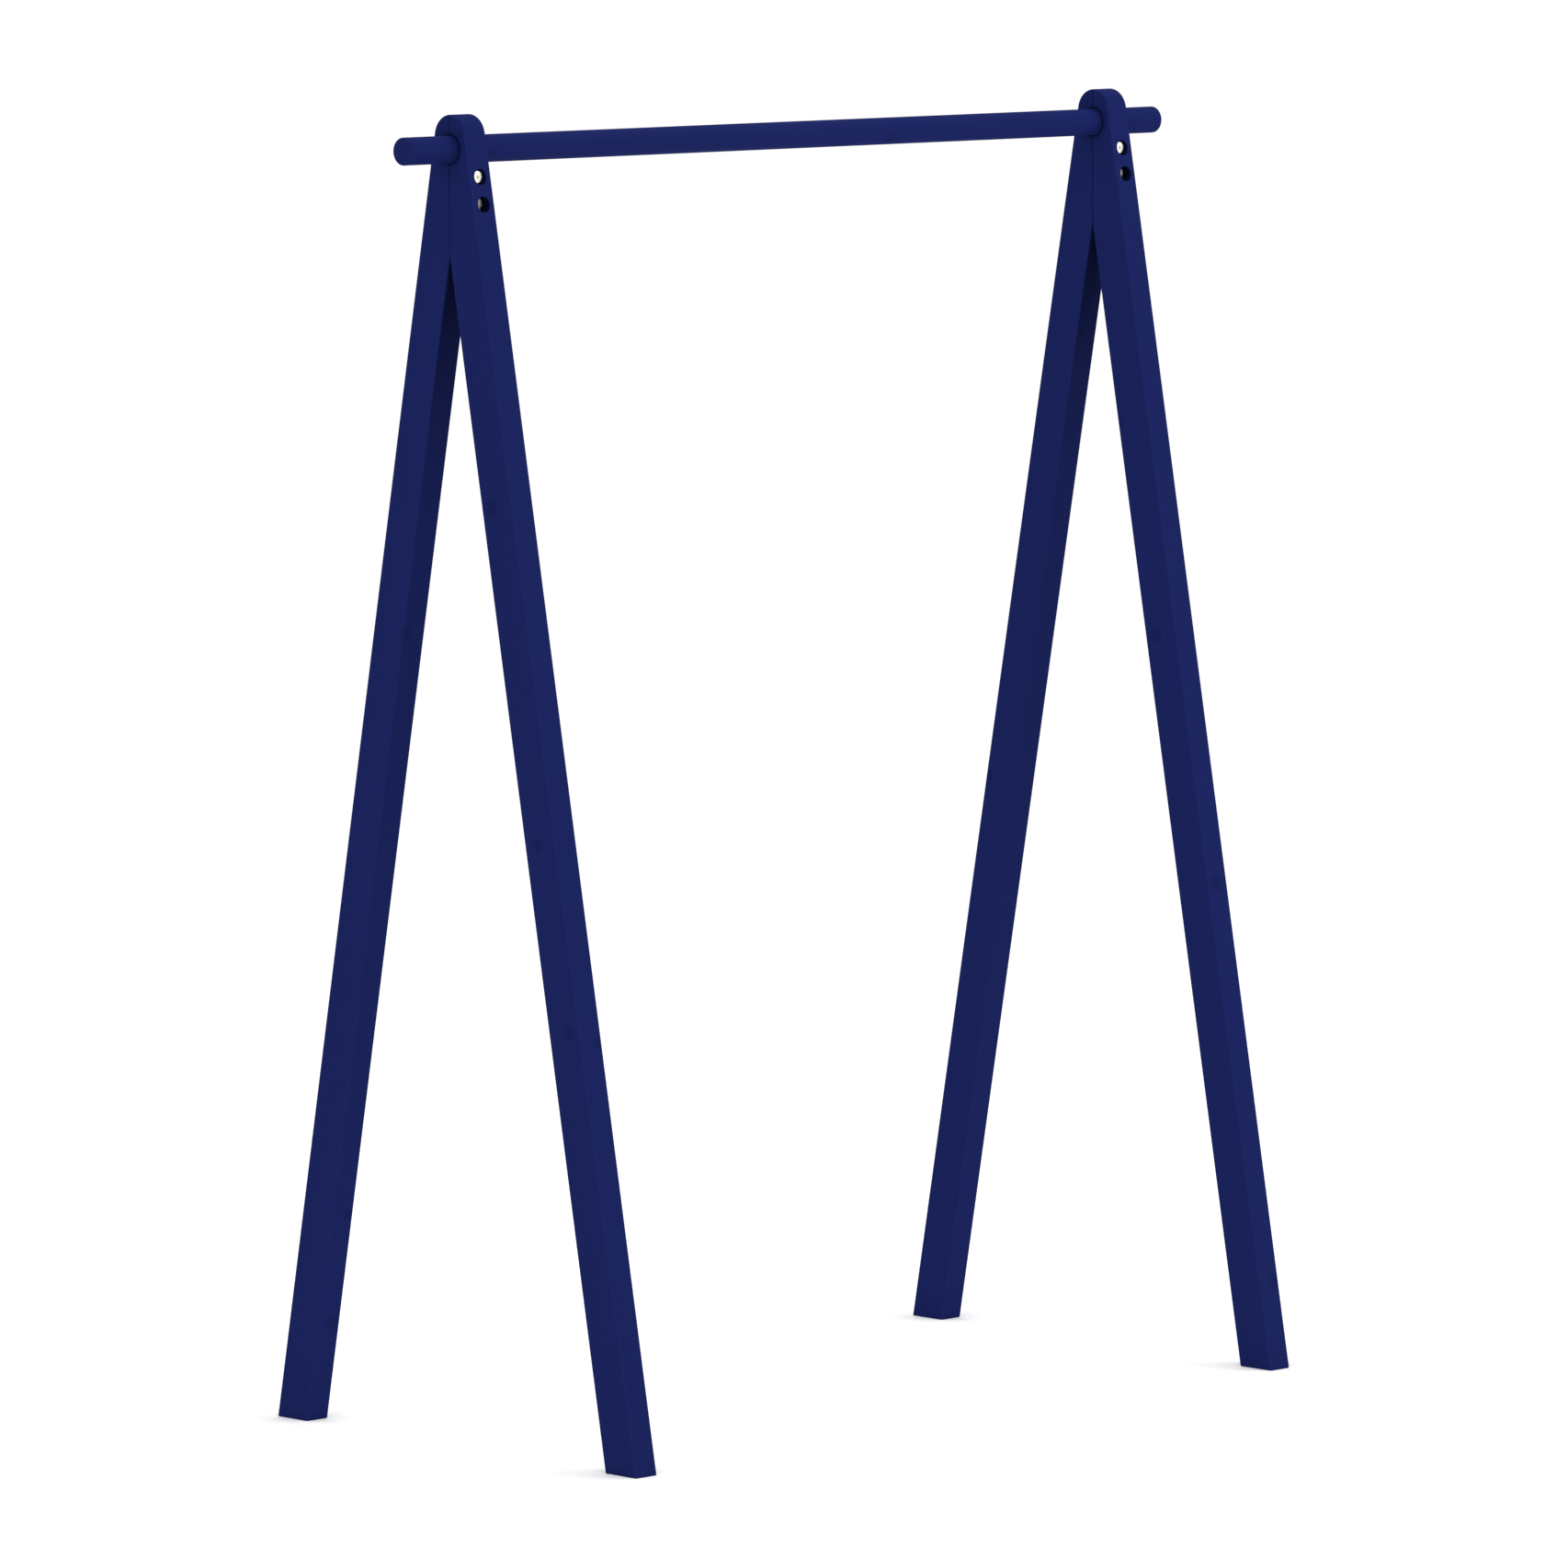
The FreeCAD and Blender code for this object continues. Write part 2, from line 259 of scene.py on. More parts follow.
def ease(size, segments):
    """Round the selected edges."""
    bpy.ops.mesh.bevel(offset=size, offset_type="OFFSET", segments=segments, profile=0.5,
                       affect="EDGES", clamp_overlap=True)


def in_a_side(edge):
    """Whether an edge lies in the left or the right face of the leg."""
    first, second = ends(edge)
    return near(abs(first.x), LEG_THICK / 2) and near(first.x, second.x)


def on_the_floor(edge):
    """Whether an edge goes round the sole."""
    return all(near(end.z, 0) for end in ends(edge))


def on_the_seam(edge):
    """Whether an edge goes round the face that meets the other leg."""
    return all(near(end.y, 0) for end in ends(edge))


def long_edge(edge):
    """Whether the planer has run along an edge."""
    return in_a_side(edge) and not on_the_floor(edge) and not on_the_seam(edge)


edit(leg)
eased = {"long": select_only("EDGE", long_edge)}
ease(EDGE_ROUND, 5)
eased["sole"] = select_only("EDGE", on_the_floor)
ease(FOOT_ROUND, 3)
eased["seam"] = select_only("EDGE", on_the_seam)
ease(SEAM_EASE, 3)
mend()
close_edit()
print("edges eased:", eased, " open:", open_edges(leg))

# %% [markdown]
# ## Drill
# Both legs of a frame are bored as a pair: half of the rail's hole in each, and two holes across
# the seam for the bolts.  A flat-bottomed counterbore lets each bolt head lie deep in the wood.
# The rear leg is the same but for a wider hole, which takes the barrel of the nut.

# %% A drill
def apply_modifier(piece, kind, **settings):
    """Add a modifier, set it and apply it."""
    pick(piece)
    modifier = piece.modifiers.new(kind.lower(), kind)
    for setting, value in settings.items():
        setattr(modifier, setting, value)
    bpy.ops.object.modifier_apply(modifier=modifier.name)


def bore(piece, radius, start, end, segments):
    """Drill a hole between two points: round, or six-sided for a key."""
    run = end - start
    bpy.ops.mesh.primitive_cylinder_add(
        vertices=segments,
        radius=radius,
        depth=run.length,
        location=(start + end) / 2,
        rotation=run.to_track_quat("Z", "Y").to_euler(),
    )
    drill = name_new("drill")
    apply_modifier(piece, "BOOLEAN", operation="DIFFERENCE", solver="EXACT", object=drill)
    bpy.data.objects.remove(drill)


print("the drill is a cylinder, taken away from the piece")

# %% [markdown]
# The sizes of the holes follow from the bolts.  Each cut runs a little past the wood or into the
# hole that it meets, because a boolean of two faces in the same plane can leave a skin.

# %% Drill the rail hole and the bolt holes
BOLT_DROP = 30 * MM
BOLT_PITCH = 30.4 * MM
BOLT_HEIGHTS = {"upper": RAIL_HEIGHT - BOLT_DROP, "lower": RAIL_HEIGHT - BOLT_DROP - BOLT_PITCH}
BOLT_RADIUS = 3 * MM
BOLT_HOLE_RADIUS = 3.3 * MM
BARREL_HOLE_RADIUS = 4.7 * MM
BARREL_LENGTH = 16 * MM
COUNTERBORE_RADIUS = 8.5 * MM
HEAD_SEAT = 25.8 * MM
OVERRUN = 1 * MM
PAST_THE_SEAM = 10 * MM
OUTSIDE_THE_LEG = 60 * MM


def along_y(height, start, end):
    """The two ends of a hole that runs from front to rear."""
    return Vector((0, start, height)), Vector((0, end, height))


side_to_side = [Vector((x, 0, RAIL_HEIGHT)) for x in (-LEG_THICK, LEG_THICK)]
bore(leg, RAIL_RADIUS, *side_to_side, segments=128)
for height in BOLT_HEIGHTS.values():
    through = along_y(height, -PAST_THE_SEAM, HEAD_SEAT + OVERRUN)
    bore(leg, BOLT_HOLE_RADIUS, *through, segments=40)
    bore(leg, COUNTERBORE_RADIUS, *along_y(height, HEAD_SEAT, OUTSIDE_THE_LEG), segments=72)
print("leg bored; open edges:", open_edges(leg))

# %% [markdown]
# The lip of every hole in painted wood is soft.  The edges round the rail's hole and the
# counterbores are found by their distance from the hole's own axis, and bevelled.

# %% Soften the mouths
RAIL_MOUTH_ROUND = 1.5 * MM
COUNTERBORE_ROUND = 1.4 * MM


def rail_mouth(edge):
    """Whether an edge lies round the mouth of the rail's hole."""
    reach = [hypot(end.y, end.z - RAIL_HEIGHT) for end in ends(edge)]
    return in_a_side(edge) and all(near(radius, RAIL_RADIUS) for radius in reach)


def counterbore_mouth(edge):
    """Whether an edge lies round the mouth of a counterbore, and not along it or at its floor."""
    first, second = ends(edge)
    round_the_hole = abs(first.y - second.y) < OVERRUN
    outside = min(first.y, second.y) > HEAD_SEAT + OVERRUN

    def on_rim(height):
        reach = [hypot(end.x, end.z - height) for end in (first, second)]
        return all(near(radius, COUNTERBORE_RADIUS) for radius in reach)

    return round_the_hole and outside and any(on_rim(height) for height in BOLT_HEIGHTS.values())


edit(leg)
mouths = select_only("EDGE", rail_mouth)
ease(RAIL_MOUTH_ROUND, 3)
mouths += select_only("EDGE", counterbore_mouth)
ease(COUNTERBORE_ROUND, 4)
close_edit()
print("eased", mouths, "edges round the mouths; open:", open_edges(leg))

# %% [markdown]
# ## Four legs from one
# The two front legs are the same batten turned half round, and the rear pair only needs the wider
# hole for the nut.  Each copy gets a mesh of its own, and its turn and place go into that mesh, so
# that every object ends at the origin and a pattern in its material stays where it is put.

# %% Shade and measure
def even_shading(piece):
    """Smooth the roundings but keep the large flat faces flat to the light."""
    pick(piece)
    bpy.ops.object.shade_smooth_by_angle(angle=radians(40))
    apply_modifier(piece, "WEIGHTED_NORMAL", keep_sharp=True, weight=100)


def report(piece, node):
    """Print how far a piece's box is from the box of the CAD node that it stands for."""
    low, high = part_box(node)
    off = 0
    for axis in range(3):
        values = [corner.co[axis] for corner in piece.data.vertices]
        off = max(off, abs(min(values) - low[axis]), abs(max(values) - high[axis]))
    faces = len(piece.data.polygons)
    print("%-28s %6d faces, box within %.2f mm of its CAD node" % (piece.name, faces, off / MM))


print("smoothing stops at edges of 40 degrees and more")

# %% [markdown]
# A copy is duplicated with its own mesh and given its turn and place as one matrix.  The half turn
# makes a front piece out of a rear one, and the roll is for the bolts.

# %% Copy, turn and place
def copy_of(source, name, place, half_turn=False, roll=0.0):
    """A copy with its own mesh, rolled about Y, turned about Z and moved, then settled."""
    pick(source)
    bpy.ops.object.duplicate(linked=False)
    piece = name_new(name)
    turn = Matrix.Rotation(pi if half_turn else 0, 4, "Z") @ Matrix.Rotation(roll, 4, "Y")
    piece.matrix_world = Matrix.Translation(place) @ turn
    settle()
    return piece


leg_for_nuts = copy_of(leg, "leg_for_nuts", (0, 0, 0))
for height in BOLT_HEIGHTS.values():
    for_barrel = along_y(height, HEAD_SEAT - BARREL_LENGTH, HEAD_SEAT + OVERRUN)
    bore(leg_for_nuts, BARREL_HOLE_RADIUS, *for_barrel, segments=40)
legs = {}
for side, across in FRAME_PLACES.items():
    place = (across, 0, 0)
    legs[side + "_front_leg"] = copy_of(leg, side + "_front_leg_timber", place, half_turn=True)
    legs[side + "_rear_leg"] = copy_of(leg_for_nuts, side + "_rear_leg_timber", place)
for pattern in (leg, leg_for_nuts):
    bpy.data.objects.remove(pattern)
for node, piece in legs.items():
    even_shading(piece)
    report(piece, node)

# %% [markdown]
# ## The rail
# A rod is turned between centres, so it is truly round, and its two ends are sanded to a soft
# edge.  A cylinder with its end rims bevelled says all of that.

# %% Turn the rail
RAIL_END_ROUND = 2 * MM

bpy.ops.mesh.primitive_cylinder_add(
    vertices=128,
    radius=RAIL_RADIUS,
    depth=RAIL_LENGTH,
    location=(0, 0, RAIL_HEIGHT),
    rotation=(0, pi / 2, 0),
)
rail = name_new("round_rail")
settle()
edit(rail)
rims = select_only("EDGE", lambda edge: near(ends(edge)[0].x, ends(edge)[1].x))
ease(RAIL_END_ROUND, 5)
for outward in (-1, 1):
    select_only("FACE", lambda face: face.normal.x * outward > 0.999)
    bpy.ops.mesh.inset(thickness=1 * MM)
    bpy.ops.mesh.poke()
close_edit()
even_shading(rail)
report(rail, "hanging_rail")
print("rail: eased", rims, "rim edges; open:", open_edges(rail))

# %% [markdown]
# ## Bolts and sleeve nuts
# A furniture bolt has a low flat head with a small hexagonal socket, and its thread runs into a
# nut shaped like a sleeve, with the same head, that comes from the other side.  Both start as the
# disc of the head, with its rim rounded and the key socket drilled by a six-sided drill.

# %% The head, for bolts and nuts alike
HEAD_RADIUS = 7.1 * MM
HEAD_HEIGHT = 2.6 * MM
HEAD_ROUND = 0.6 * MM
KEY_SIZE = 4 * MM
KEY_ACROSS_CORNERS = 2 * KEY_SIZE / sqrt(3)
KEY_DEPTH = 1.8 * MM
KEY_MOUTH_EASE = 0.25 * MM


def in_the_front(edge):
    """Whether an edge lies in the front face of the head."""
    return all(near(end.y, -HEAD_HEIGHT) for end in ends(edge))


def round_the_key(edge):
    """Whether an edge is nearer the key socket than the head's own rim."""
    return all(hypot(end.x, end.z) < KEY_ACROSS_CORNERS for end in ends(edge))


def head_disc(name):
    """A low head that looks to the front, with its underside at y = 0 and a key socket."""
    bpy.ops.mesh.primitive_cylinder_add(
        vertices=72,
        radius=HEAD_RADIUS,
        depth=HEAD_HEIGHT,
        location=(0, -HEAD_HEIGHT / 2, 0),
        rotation=(pi / 2, 0, 0),
    )
    disc = name_new(name)
    settle()
    edit(disc)
    select_only("EDGE", in_the_front)
    ease(HEAD_ROUND, 5)
    close_edit()
    key = along_y(0, KEY_DEPTH - HEAD_HEIGHT, -3 * HEAD_HEIGHT)
    bore(disc, KEY_ACROSS_CORNERS / 2, *key, segments=6)
    edit(disc)
    rim = select_only("EDGE", lambda edge: in_the_front(edge) and round_the_key(edge))
    ease(KEY_MOUTH_EASE, 2)
    close_edit()
    print(name, "head: socket rim edges", rim, " open:", open_edges(disc))
    return disc


print("head %.1f mm across, key %.0f mm" % (2 * HEAD_RADIUS / MM, KEY_SIZE / MM))

# %% [markdown]
# ## The bolt
# The bolt grows out of the back of its head, which is inset to the size of the shank and pulled.
# Each turn of the thread is two short pulls: the end is narrowed to the root after the first and
# widened again after the second.  A true helix would look the same at this size.

# %% The bolt
THREAD_PITCH = 1 * MM
THREAD_DEPTH = 0.55 * MM
THREAD_TURNS = 18
BOLT_LENGTH = 44.6 * MM


def pull(distance):
    """Extrude the selected end face along Y."""
    bpy.ops.mesh.extrude_region_move(TRANSFORM_OT_translate={"value": (0, distance, 0)})


def widen(now, wanted):
    """Scale the selected end face from one radius to another, about its own middle."""
    share = wanted / now
    bpy.ops.transform.resize(value=(share, 1, share))


def facing_rear(level):
    """A test for the flat face at one depth that looks to the rear."""
    return lambda face: face.normal.y > 0.999 and near(face.calc_center_median().y, level)


def threaded_bolt():
    """A head, a plain shank and a thread of rings, along +Y."""
    piece = head_disc("bolt")
    edit(piece)
    select_only("FACE", facing_rear(0))
    bpy.ops.mesh.inset(thickness=HEAD_RADIUS - BOLT_RADIUS)
    pull(BOLT_LENGTH - THREAD_TURNS * THREAD_PITCH)
    root = BOLT_RADIUS - THREAD_DEPTH
    for turn in range(THREAD_TURNS):
        pull(THREAD_PITCH / 2)
        widen(BOLT_RADIUS, root)
        pull(THREAD_PITCH / 2)
        if turn < THREAD_TURNS - 1:
            widen(root, BOLT_RADIUS)
    close_edit()
    even_shading(piece)
    return piece


bolt = threaded_bolt()
print("bolt: open edges", open_edges(bolt))

# %% [markdown]
# ## The sleeve nut
# The nut is the same head with a hollow barrel behind it.  The barrel is pulled out of the back of
# the head, and its end is chamfered so that it finds the hole.  Then its end face is inset to the
# size of the thread and pushed back in, which leaves a blind bore for the bolt.

# %% The sleeve nut
BARREL_RADIUS = 4.5 * MM
BARREL_CHAMFER = 0.8 * MM
THREAD_REACH = 12 * MM


def sleeve_nut():
    """A head and a barrel with a blind bore, along +Y."""
    piece = head_disc("nut")
    edit(piece)
    select_only("FACE", facing_rear(0))
    bpy.ops.mesh.inset(thickness=HEAD_RADIUS - BARREL_RADIUS)
    pull(BARREL_LENGTH)
    select_only("EDGE", lambda edge: all(near(end.y, BARREL_LENGTH) for end in ends(edge)))
    ease(BARREL_CHAMFER, 1)
    select_only("FACE", facing_rear(BARREL_LENGTH))
    bpy.ops.mesh.inset(thickness=BARREL_RADIUS - BARREL_CHAMFER - BOLT_RADIUS)
    pull(-THREAD_REACH)
    close_edit()
    even_shading(piece)
    return piece


nut = sleeve_nut()
print("nut: open edges", open_edges(nut))

# %% [markdown]
# ## Four of each
# Nobody lines up the sockets of four bolts, so each copy is rolled by a different angle.  The nuts
# are the same way round as the bolts when they are made, so they are turned to face them.

# %% Four of each
FIRST_ROLL = 17
NEXT_ROLL = 31

fasteners = {}
for side, across in FRAME_PLACES.items():
    for level, height in BOLT_HEIGHTS.items():
        roll = radians(FIRST_ROLL + NEXT_ROLL * len(fasteners))
        before = Vector((across, -HEAD_SEAT, height))
        behind = Vector((across, HEAD_SEAT, height))
        node = "%s_%s_bolt" % (side, level)
        fasteners[node] = copy_of(bolt, node + "_steel", before, roll=roll)
        node = "%s_%s_sleeve_nut" % (side, level)
        fasteners[node] = copy_of(nut, node + "_steel", behind, half_turn=True, roll=roll)
for pattern in (bolt, nut):
    bpy.data.objects.remove(pattern)
for node, piece in fasteners.items():
    report(piece, node)

# %% [markdown]
# ## A small language for shaders
# A finish is mostly arithmetic on a place: how far from the heart of the tree, how deep in a knot.
# Wiring Math nodes by hand hides that arithmetic, so this class wraps a socket and lets ordinary
# Python sums add the nodes.  Colours and vectors must not go through Math nodes, so those use
# Vector Math and Mix.

# %% Sums on sockets
class Signal:
    """The output of a node, ready to be used in sums."""

    def __init__(self, finish, socket):
        self.finish = finish
        self.socket = socket

    def _math(self, operation, *others):
        terms = dict(enumerate((self,) + others))
        return self.finish.node("ShaderNodeMath", {"operation": operation}, terms)

    def __add__(self, other):
        return self._math("ADD", other)

    def __mul__(self, other):
        return self._math("MULTIPLY", other)

    def __sub__(self, other):
        return self._math("SUBTRACT", other)

    def __rsub__(self, other):
        return self * -1 + other

    __radd__ = __add__
    __rmul__ = __mul__

    def wave(self):
        """A sine of the value, for what repeats."""
        return self._math("SINE")

    def size(self):
        """The value without its sign."""
        return self._math("ABSOLUTE")

    def lowest(self, other):
        """The lower of two values."""
        return self._math("MINIMUM", other)

    def highest(self, other):
        """The higher of two values."""
        return self._math("MAXIMUM", other)

    def fade(self, start, end):
        """0 at start, 1 at end, smoothly between."""
        sockets = {"Value": self, "From Min": start, "From Max": end, "To Min": 0.0, "To Max": 1.0}
        return self.finish.node("ShaderNodeMapRange", {"interpolation_type": "SMOOTHSTEP"}, sockets)


print("a socket can now be added, multiplied and faded")

# %% [markdown]
# ## One class for a finish
# Everything else that a material needs comes from one method, which takes the node's type, its
# settings and the values of its sockets.  The short methods under it name the few nodes that
# timber, paint and plating call for, and the last one fills the sockets of the main shader.

# %% A finish
class Finish:
    """A material that is written as sums on signals."""

    def __init__(self, name):
        self.material = bpy.data.materials.new(name)
        self.material.use_nodes = True
        self.tree = self.material.node_tree
        self.shader = self.tree.nodes["Principled BSDF"]

    def node(self, kind, settings=None, sockets=None, output=0):
        """Add a node: its settings first, then the value or the link of each socket."""
        made = self.tree.nodes.new(kind)
        for setting, value in (settings or {}).items():
            setattr(made, setting, value)
        for socket, value in (sockets or {}).items():
            if isinstance(value, Signal):
                self.tree.links.new(value.socket, made.inputs[socket])
            else:
                made.inputs[socket].default_value = value
        return Signal(self, made.outputs[output])

    def vector(self, operation, *values, output=0):
        """Vector sums, for places and directions."""
        terms = dict(enumerate(values))
        return self.node("ShaderNodeVectorMath", {"operation": operation}, terms, output)

    def place(self):
        """Where a point is on the object, in metres."""
        return self.node("ShaderNodeTexCoord", output="Object")

    def noise(self, where, scale, detail=2.0, roughness=0.5):
        """Soft random values from 0 to 1, about 0.5 on average."""
        sockets = {"Vector": where, "Scale": scale, "Detail": detail, "Roughness": roughness}
        return self.node("ShaderNodeTexNoise", {"noise_dimensions": "3D"}, sockets)

    def blend(self, amount, first, second):
        """Mix two colours."""
        sockets = {0: amount, 6: first, 7: second}
        return self.node("ShaderNodeMix", {"data_type": "RGBA"}, sockets, output=2)

    def along(self, where, direction):
        """How far a place lies in one direction."""
        return self.vector("DOT_PRODUCT", where, direction, output="Value")

    def off_axis(self, where, across):
        """How far a place lies from an axis, where across is 1 square to the axis and 0 along it."""
        return self.vector("LENGTH", self.vector("MULTIPLY", where, across), output="Value")

    def bump(self, height):
        """Relief whose height is in millimetres."""
        sockets = {"Height": height, "Distance": MM, "Strength": 1.0}
        return self.node("ShaderNodeBump", {}, sockets)

    def coat(self, piece):
        """Make this the only material of a piece."""
        piece.data.materials.clear()
        piece.data.materials.append(self.material)

    def set(self, **values):
        """Link or set sockets of the main shader, by their names with underscores for spaces."""
        for name, value in values.items():
            socket = self.shader.inputs[name.replace("_", " ")]
            if isinstance(value, Signal):
                self.tree.links.new(value.socket, socket)
            else:
                socket.default_value = value


print("a finish can be written as sums")

# %% [markdown]
# ## Painted highlight and painted shade
# A painted leg is not one blue.  A painted highlight lightens the rounded long edges.  Painted shade
# darkens the seam, the ring round the rail and the mouths of the counterbores, where little light
# reaches, and deep in the fork, where two inner faces shade each other.  Each of these is a mask: a
# number that is highest in the place and fades to 0 away from it, worked out from distances.

# %% Masks for a leg
def painted_highlight_on_arris(finish, grain):
    """Painted highlight: 1 on the rounded long edges, whose colour is made lighter."""
    start, full = 2.2 * MM, 0.6 * MM
    from_middle = finish.along(grain, (1, 0, 0)).size()
    on_a_side = from_middle.fade(LEG_THICK / 2 - start, LEG_THICK / 2 - full)
    from_middle = finish.along(grain, (0, 1, 0)).size()
    on_an_edge = from_middle.fade(LEG_WIDTH / 2 - start, LEG_WIDTH / 2 - full)
    return on_a_side * on_an_edge


def painted_shade_at_joints(finish, across):
    """Painted shade: near 1 where two painted pieces meet or a bolt goes in, where little light
    reaches.
    """
    where = finish.place()
    from_rail = finish.off_axis(finish.vector("SUBTRACT", where, (0, 0, RAIL_HEIGHT)), (0, 1, 1))
    seam = finish.along(where, (0, 1, 0)).size().fade(0.9 * MM, 0.2 * MM)
    ring = from_rail.fade(RAIL_RADIUS + 2.6 * MM, RAIL_RADIUS + 0.7 * MM)
    halo = from_rail.fade(RAIL_RADIUS + 7 * MM, RAIL_RADIUS + 1 * MM)
    dark = (seam * 0.85).highest(ring).highest(halo * 0.35)
    for height in BOLT_HEIGHTS.values():
        from_bolt = finish.off_axis(finish.vector("SUBTRACT", where, (across, 0, height)), (1, 0, 1))
        mouth = from_bolt.fade(COUNTERBORE_RADIUS + 1.2 * MM, COUNTERBORE_RADIUS - 0.1 * MM)
        dark = dark.highest(mouth * 0.85)
    return dark


def painted_shade_in_fork(finish, grain, inward):
    """Painted shade: strongest deep in the fork of an end frame, and on the inner faces only."""
    from_middle = finish.along(grain, (0, inward, 0))
    on_inner_face = from_middle.fade(LEG_WIDTH / 2 - 1.8 * MM, LEG_WIDTH / 2 - 0.4 * MM)
    half_gap = finish.along(finish.place(), (0, 1, 0)).size()
    deep = half_gap.fade(60 * MM, 0.0)
    wide = half_gap.fade(240 * MM, 30 * MM)
    return on_inner_face * (deep * 0.43 + wide * 0.26)


print("masks: arris, joints and fork")

# %% [markdown]
# ## Matt navy paint over pine
# Paint hides the colour of the wood but not its shape.  Summer wood stands a little proud of
# spring wood in long lines, knots show as faint darker ovals, and a roller leaves a fine stipple.
# All of that is a solid pattern in the leg's own directions: across, through and along the grain.
# The growth rings are circles about the heart of the tree, which lies a little outside the
# batten, so the same sums give long lines on the sides and arcs on a sawn end.

# %% The wood under the paint
RING_WIDTH = 4.2 * MM
RING_WANDER = 34 * MM
RING_PUSH = 5 * MM
EACH_FROM_ITS_OWN_TREE = Vector((0.37, 0.61, 0.83))


def knots_in(finish, grain, knots):
    """1 inside a knot, for knots given as (along, across, through, radius) in millimetres."""
    found = 0
    for along, across, through, radius in knots:
        centre = (through * MM, across * MM, along * MM)
        stretch = (1 / (1.5 * radius * MM), 1 / (radius * MM), 1 / (1.2 * radius * MM))
        reach = finish.vector("MULTIPLY", finish.vector("SUBTRACT", grain, centre), stretch)
        found = finish.vector("LENGTH", reach, output="Value").fade(1.25, 0.35).highest(found)
    return found


def summer_wood(finish, grain, shifted, heart, knot):
    """1 in the hard dark half of each growth ring."""
    wander = finish.noise(finish.vector("MULTIPLY", shifted, (9.0, 9.0, 1.6)), 1.0)
    heart_line = (heart[0] * MM, heart[1] * MM, 0)
    from_heart = finish.off_axis(finish.vector("SUBTRACT", grain, heart_line), (1, 1, 0))
    ring = from_heart + (wander - 0.5) * RING_WANDER + knot * RING_PUSH
    return (ring * (2 * pi / RING_WIDTH)).wave().fade(-0.2, 0.95)


print("growth rings are %.1f mm apart" % (RING_WIDTH / MM))

# %% [markdown]
# ## The paint itself
# Three noises make the coat.  Long thin ones follow the fibres, a broad soft one is where the
# paint was laid on thicker or thinner, and a fine one is the stipple.  Thin paint is a shade
# lighter.  The relief is a few hundredths of a millimetre of fibre and stipple, on a broad wave of
# up to a quarter.  A matt paint has hardly any gloss, so the specular level is low and the
# roughness is high.

# %% Paint over timber
NAVY_THIN = (0.0090, 0.0152, 0.1020, 1)
NAVY_FULL = (0.0078, 0.0134, 0.0880, 1)
NAVY_KNOT = (0.0050, 0.0086, 0.0550, 1)
# Painted shade, for the seam, the ring round the rail, the counterbore mouths and the fork.
NAVY_PAINTED_SHADE = (0.0008, 0.0024, 0.0150, 1)
# Painted highlight, for the rounded long edges of a leg.
NAVY_PAINTED_HIGHLIGHT = (0.0110, 0.0190, 0.1140, 1)


def painted_timber(name, foot, turn, heart, knots, number, inward=None):
    """Paint on one piece of timber.

    foot is a point at the end of the piece, turn brings its length upright, heart is how far the
    heart of the tree lies from its middle, and number tells one piece from another.  inward is
    given for a leg only: the direction of its inner face, 1 or -1.
    """
    finish = Finish(name)
    from_foot = finish.vector("SUBTRACT", finish.place(), tuple(foot))
    turned = {"Vector": from_foot, "Rotation": turn}
    grain = finish.node("ShaderNodeMapping", {"vector_type": "POINT"}, turned)
    shifted = finish.vector("ADD", grain, tuple(EACH_FROM_ITS_OWN_TREE * number))
    knot = knots_in(finish, grain, knots)
    late_wood = summer_wood(finish, grain, shifted, heart, knot)
    fibre = finish.noise(finish.vector("MULTIPLY", shifted, (900, 900, 14)), 1.0, detail=3.0)
    cloud = finish.noise(finish.vector("MULTIPLY", shifted, (14, 14, 2.5)), 1.0, detail=3.0)
    stipple = finish.noise(shifted, 1100.0)
    thickness = (cloud * 1.3 - 0.4) + (fibre - 0.5) * 0.5 + late_wood * 0.12
    colour = finish.blend(thickness.highest(0.0).lowest(1.0), NAVY_FULL, NAVY_THIN)
    colour = finish.blend(knot * 0.45, colour, NAVY_KNOT)
    if inward:
        # A painted highlight on the rounded long edges.
        colour = finish.blend(painted_highlight_on_arris(finish, grain) * 0.7, colour, NAVY_PAINTED_HIGHLIGHT)
        # Painted shade in the seam, round the rail, at the counterbore mouths and deep in the fork.
        dark = painted_shade_at_joints(finish, foot.x).highest(painted_shade_in_fork(finish, grain, inward))
        colour = finish.blend(dark, colour, NAVY_PAINTED_SHADE)
    relief = late_wood * 0.035 + fibre * 0.05 + stipple * 0.03 + knot * 0.09 + cloud * 0.25
    finish.set(
        Base_Color=colour,
        Roughness=0.74 + (cloud - 0.5) * 0.12 - late_wood * 0.03 + knot * 0.06,
        Normal=finish.bump(relief),
        Specular_IOR_Level=0.02,
    )
    return finish


print("coat ready: thin, full, knot, joint and arris")

# %% [markdown]
# ## Paint the legs and the rail
# No two boards are alike, so each leg has its own knots and its own distance from the heart.  A
# knot is placed from the foot of its leg: how far up, how far towards the edge, how deep in the
# thickness, and how large.

# %% Knots, and the painted pieces
LEG_KNOTS = {
    "left_front_leg": [
        (1085, 9, -16, 10), (705, 4, -16, 8), (495, -8, -16, 9), (480, -25, 9, 5), (300, 14, 16, 9),
    ],
    "left_rear_leg": [
        (935, -25, -13, 9), (250, -25, 9, 6), (120, -25, 4, 8), (640, 8, 16, 9), (1180, 25, 5, 7),
    ],
    "right_front_leg": [
        (1130, 20, -16, 8), (875, 7, -16, 10), (575, -25, -1, 9), (100, -25, 10, 8),
    ],
    "right_rear_leg": [
        (680, 20, -16, 8), (350, 10, 16, 9), (960, -6, 16, 7), (1210, 25, -8, 8),
    ],
}
RAIL_KNOTS = [(395, 9, 12, 7), (760, -12, 9, 6)]
RAIL_HEART = (9, -26)
RAIL_NUMBER = 7
foot_y = HALF_DEPTH - LEG_WIDTH / 2 / cos(LEAN)

